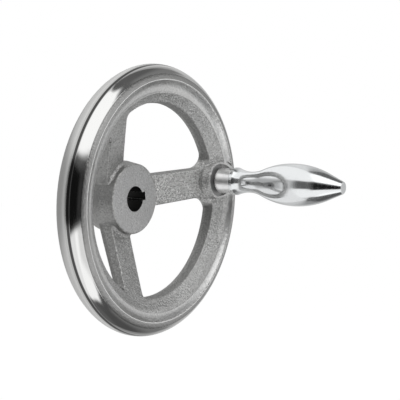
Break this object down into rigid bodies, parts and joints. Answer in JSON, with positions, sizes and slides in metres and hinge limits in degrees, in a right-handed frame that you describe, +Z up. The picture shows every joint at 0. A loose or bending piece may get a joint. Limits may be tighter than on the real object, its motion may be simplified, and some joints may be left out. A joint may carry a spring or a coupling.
{
  "type": "machine handwheel",
  "caption": "Spoked cast-iron handwheel with a polished rim, keyed hub bore and a revolving machine handle on one spoke.",
  "frame": {"origin": "on the axis of the bore, in the plane of the hub's rear face", "axes": "+Y along the bore, away from the handle; +Z up; the handle points to -Y and its spoke to +X, 14 degrees above the horizontal"},
  "size_m": [0.125, 0.1018, 0.125],
  "materials": {
    "cast_iron": "sand-cast grey iron, rim and hub faces turned bright",
    "turned_steel": "turned, dull",
    "polished_steel": "turned and polished",
    "spring_steel": "drawn spring wire"
  },
  "bodies": {
    "wheel": {"handwheel": "cast_iron", "handle_spindle": "turned_steel", "grip_retaining_ring": "spring_steel"},
    "grip": {"handle_grip": "polished_steel"}
  },
  "joints": [
    {"name": "grip_turn", "type": "hinge", "parent": "wheel", "child": "grip", "pos_m": [0.04657, -0.0333, 0.01161], "axis": [0, -1, 0], "continuous": true}
  ]
}
